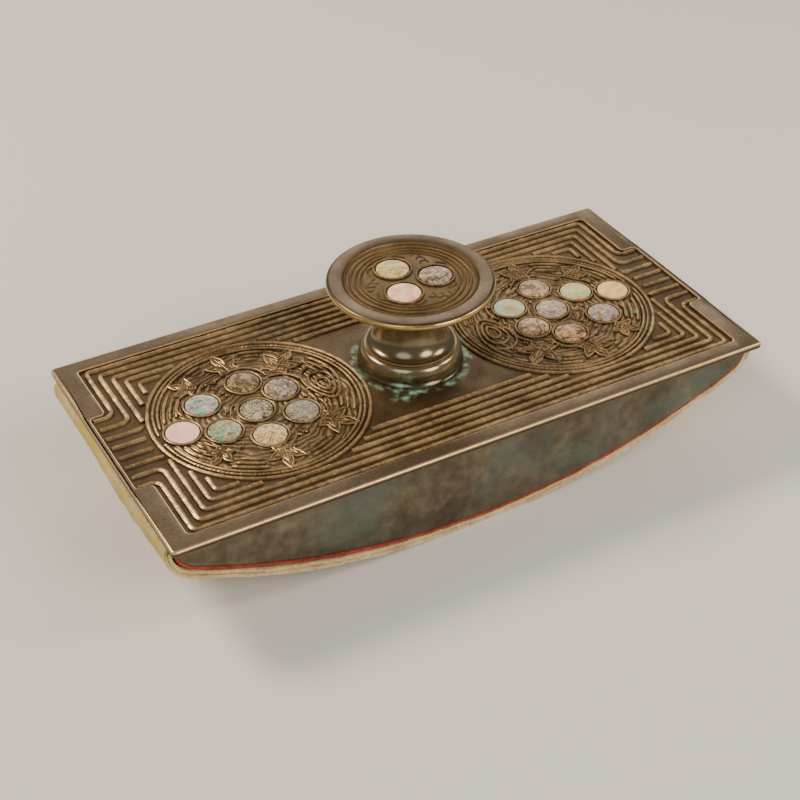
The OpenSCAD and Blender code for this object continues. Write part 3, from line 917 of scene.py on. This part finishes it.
def cheek_finish():
    """Mottled sheet bronze."""
    material, tree, principled = new_material("mottled_sheet_bronze", {"Metallic": 0.55})
    broad = add_node(tree, "Math", multiply, [cloud(tree, 14.0, 8, 0.3), 0.6])
    small = add_node(tree, "Math", multiply, [cloud(tree, 2.6, 8), 0.4])
    patches = add_node(tree, "Math", add, [broad, small])
    colour = add_node(tree, "ValToRGB", {}, [patches], stops=[(0.36, "#463b2a"), (0.46, "#584e3a"),
                                                              (0.55, "#6a614c"), (0.66, "#7c745f")])
    blue = add_node(tree, "MapRange", {}, [cloud(tree, 20.0, 9, 0.4), 0.48, 0.62, 0.0, 0.6])
    colour = add_node(tree, "Mix", over, {0: blue, 6: colour, 7: "#56635a"}, 2)
    stains = add_node(tree, "MapRange", {}, [cloud(tree, 12.0, 6), 0.44, 0.6, 0.0, 0.8])
    rust = add_node(tree, "Math", multiply, [along_axis(tree, "Z", 19.5 * mm, 24.5 * mm), stains])
    colour = add_node(tree, "Mix", over, {0: rust, 6: colour, 7: "#6e4624"}, 2)
    foot = along_axis(tree, "Z", 4.0 * mm, 11.0 * mm, 0.35, 0.0)
    colour = add_node(tree, "Mix", over, {0: foot, 6: colour, 7: "#33291b"}, 2)
    specks = add_node(tree, "MapRange", {}, [cloud(tree, 0.9, 4), 0.60, 0.70, 0.0, 0.35])
    colour = add_node(tree, "Mix", over, {0: specks, 6: colour, 7: "#3a3023"}, 2)
    tree.links.new(colour, principled.inputs["Base Color"])
    gloss = add_node(tree, "MapRange", {}, [cloud(tree, 7.0, 5), 0.3, 0.7, 0.22, 0.46])
    tree.links.new(gloss, principled.inputs["Roughness"])
    grain(tree, principled, 1.2, 0.04, 0.35)
    return material


cheek_bronze = cheek_finish()
# Dull, unpolished bronze keeps the inside dark; yellow brass picks the screw's pieces out.
inside_bronze = bronze("dull_inside_bronze", "#33291c", "#574732", "#74623f",
                       -4 * mm, 26 * mm, 0.50, 1.2)
plain_brass = bronze("turned_brass", "#6e5523", "#a5833d", "#cbb06c", 8 * mm, 40 * mm, 0.28, 0.8)
for finish, names in ((cheek_bronze, ("front_cheek", "back_cheek")),
                      (inside_bronze, ("sole_plate", "left_end_bar", "right_end_bar", "centre_bridge")),
                      (plain_brass, ("threaded_bush", "knob_stud", "stud_clip"))):
    for name in names:
        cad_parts[name].data.materials.clear()
        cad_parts[name].data.materials.append(finish)

# Papers: a red under-sheet and two sheets of soft blotting paper, wrapped round the curved foot
# and folded in under the plate at both ends. Their long edges are cut a little unevenly, fray,
# and bulge where they aren't held; the left end flares out and has gone yellow.
sole_low, sole_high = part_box("sole_plate")
end_height = 5.2 * mm
tucked_half = 29.6 * mm
half_length = sole_high.x
sole_rise = plate_under - end_height - sole_low.z
sole_radius = (half_length ** 2 + sole_rise ** 2) / (2 * sole_rise)
sole_centre_z = sole_low.z + sole_radius
corner_r = 1.12 * end_height
corner_x = half_length - corner_r
corner_z = sole_centre_z - math.sqrt((sole_radius - corner_r) ** 2 - corner_x ** 2)
sole_angle = math.asin(corner_x / (sole_radius - corner_r))


def half_route(offset, lip_z, lip_from):
    """The right half of a sheet's path in x and z, from the middle of the foot to its end."""
    path = []
    radius = sole_radius + offset
    foot_steps = 60
    for i in range(foot_steps):
        a = sole_angle * i / foot_steps
        path.append((math.sin(a) * radius, sole_centre_z - math.cos(a) * radius))
    top = math.pi / 2 if lip_from is None else math.pi / 2 - 0.10
    radius = corner_r + offset
    corner_steps = 12
    for i in range(corner_steps + 1):
        a = sole_angle + (top - sole_angle) * i / corner_steps
        path.append((corner_x + math.sin(a) * radius, corner_z - math.cos(a) * radius))
    if lip_from is None:
        return [p for p in path if p[1] < lip_z]
    bend = 0.8 * mm
    middle = (half_length + offset - bend, lip_z - bend)
    path += [(middle[0] + bend * math.cos(a), middle[1] + bend * math.sin(a)) for a in quarter(5)[1:]]
    lip_steps = 8
    path += [(middle[0] + (lip_from - middle[0]) * i / lip_steps, lip_z) for i in range(1, lip_steps + 1)]
    return path


def paper_finish(name, colours, fibre, yellow=None):
    """Soft unsized paper: fibres, dirt from ink and desk, and no shine."""
    material, tree, principled = new_material(name, {"Roughness": 0.92, "Specular IOR Level": 0.15})
    dirt = add_node(tree, "Math", multiply, [cloud(tree, 7.0, 5), 0.6])
    fluff = add_node(tree, "Math", multiply, [cloud(tree, 0.7), 0.4])
    tone = add_node(tree, "Math", add, [dirt, fluff])
    colour = add_node(tree, "ValToRGB", {}, [tone], stops=list(zip((0.34, 0.5, 0.66), colours)))
    fibres = add_node(tree, "MapRange", {}, [cloud(tree, 0.35, 2, 2.0), 0.52, 0.66, 0.0, 0.4])
    colour = add_node(tree, "Mix", over, {0: fibres, 6: colour, 7: fibre}, 2)
    if yellow:
        left_end = along_axis(tree, "X", -74.5 * mm, -66 * mm, 1.0, 0.0)
        aged = add_node(tree, "MapRange", {}, [cloud(tree, 9.0, 6), 0.30, 0.62])
        left_end = add_node(tree, "Math", multiply, [left_end, aged])
        colour = add_node(tree, "Mix", over, {0: left_end, 6: colour, 7: yellow}, 2)
    tree.links.new(colour, principled.inputs["Base Color"])
    grain(tree, principled, 0.4, 0.12, 0.7)
    return material


def share(value):
    """A value held between 0 and 1."""
    return min(1, max(0, value))


def across_sheet(x, z, v, offset, half_wide, loose):
    """Where a point lies across a sheet; v runs from -1 at the front edge to 1 at the back.
    The cut edges fray, bulge at the left front, lie tight at the right, and the ends are narrower,
    where they fold in between the cheeks."""
    fray = noise.noise(Vector((x * 260, v * 3, offset * 900))) + 0.6 * noise.noise(Vector((x * 900, v, 5)))
    bulge = loose * 1.1 * mm * math.exp(-((x + 42 * mm) / (26 * mm)) ** 2) * (v < 0)
    tight = loose * 0.45 * mm * share((x - 38 * mm) / (20 * mm))
    tuck = share((half_length + 0.6 * mm - abs(x)) / (0.6 * mm)) * (z > corner_z - 1.5 * mm)
    at_edge = abs(v) ** 6 * (1 - tuck)
    y = v * (half_wide + (tucked_half - half_wide) * tuck)
    return y + math.copysign(at_edge, v) * (0.28 * mm * fray * (0.4 + loose) + bulge - tight)


def off_foot(x, y, z, v, offset, loose):
    """How far a sheet stands off its route: slight waves, and a ragged flare at the left end."""
    wave = noise.noise(Vector((x * 110, v * 1.8, offset * 2000)))
    ragged = noise.noise(Vector((y * 320, z * 60, offset * 700)))
    waves = 0.16 * wave * share((z - 1.2 * mm) / (8 * mm))
    at_end = share(1 - abs(z - 19.5 * mm) / (6 * mm)) * (x < -60 * mm)
    to_front = share((14 * mm - y) / (10 * mm))
    return loose * mm * (waves + at_end * to_front * (0.30 + 0.35 * wave + 0.30 * ragged))


def add_sheet(name, node, offset, thickness, lip_z, lip_from, half_wide, loose, finish):
    """One sheet following the foot at an offset; loose is how far it strays and frays. Its ends
    fold in at lip_z as far as lip_from, or just stop at lip_z if that is None."""
    right = half_route(offset, lip_z, lip_from)
    route = [(-x, z) for x, z in reversed(right[1:])] + right
    across = 48
    bpy.ops.mesh.primitive_grid_add(x_subdivisions=len(route) - 1, y_subdivisions=across, size=1)
    sheet = bpy.context.object
    sheet.name = name
    last = len(route) - 1
    for vertex in sheet.data.vertices:
        i = round((vertex.co.x + 0.5) * last)
        v = vertex.co.y * 2
        x, z = route[i]
        y = across_sheet(x, z, v, offset, half_wide, loose)
        out = off_foot(x, y, z, v, offset, loose)
        before, after = Vector(route[max(0, i - 1)]), Vector(route[min(last, i + 1)])
        run_x, run_z = (after - before).normalized()
        vertex.co = (x + run_z * out, y, min(lip_z, z - run_x * out))
    sheet.data.materials.append(finish)
    apply_modifier(sheet, "SOLIDIFY", thickness=thickness, offset=0)
    bpy.ops.object.shade_smooth_by_angle(angle=math.radians(50))
    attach(sheet, "rocker")
    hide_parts(node)
    return sheet


# The red sheet draws one thin warm line; the cream pulp is pale, matt and a little dirty.
red_dye = paper_finish("red_dyed_paper", ("#5e2416", "#8a3526", "#a84a38"), "#b87860")
cream_pulp = paper_finish("cream_blotting_pulp", ("#9c8056", "#c0a87c", "#d8c69e"), "#e6d8b8", "#b8a350")
red_end_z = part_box("red_underlay")[1].z - 0.25 * mm
inner_lip_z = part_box("inner_blotter")[1].z - 0.4 * mm
outer_lip_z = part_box("outer_blotter")[1].z - 0.4 * mm
red_sheet = add_sheet("red_under_sheet", "red_underlay", 0.42 * mm, 0.6 * mm, red_end_z,
                      None, 31.5 * mm, 0.4, red_dye)
inner_sheet = add_sheet("inner_blotting_sheet", "inner_blotter", 1.5 * mm, 0.75 * mm,
                        inner_lip_z, 62.5 * mm, 31.4 * mm, 0.7, cream_pulp)
add_sheet("outer_blotting_sheet", "outer_blotter", 2.4 * mm, 0.75 * mm,
          outer_lip_z, 62.5 * mm, 31.4 * mm, 1.0, cream_pulp)
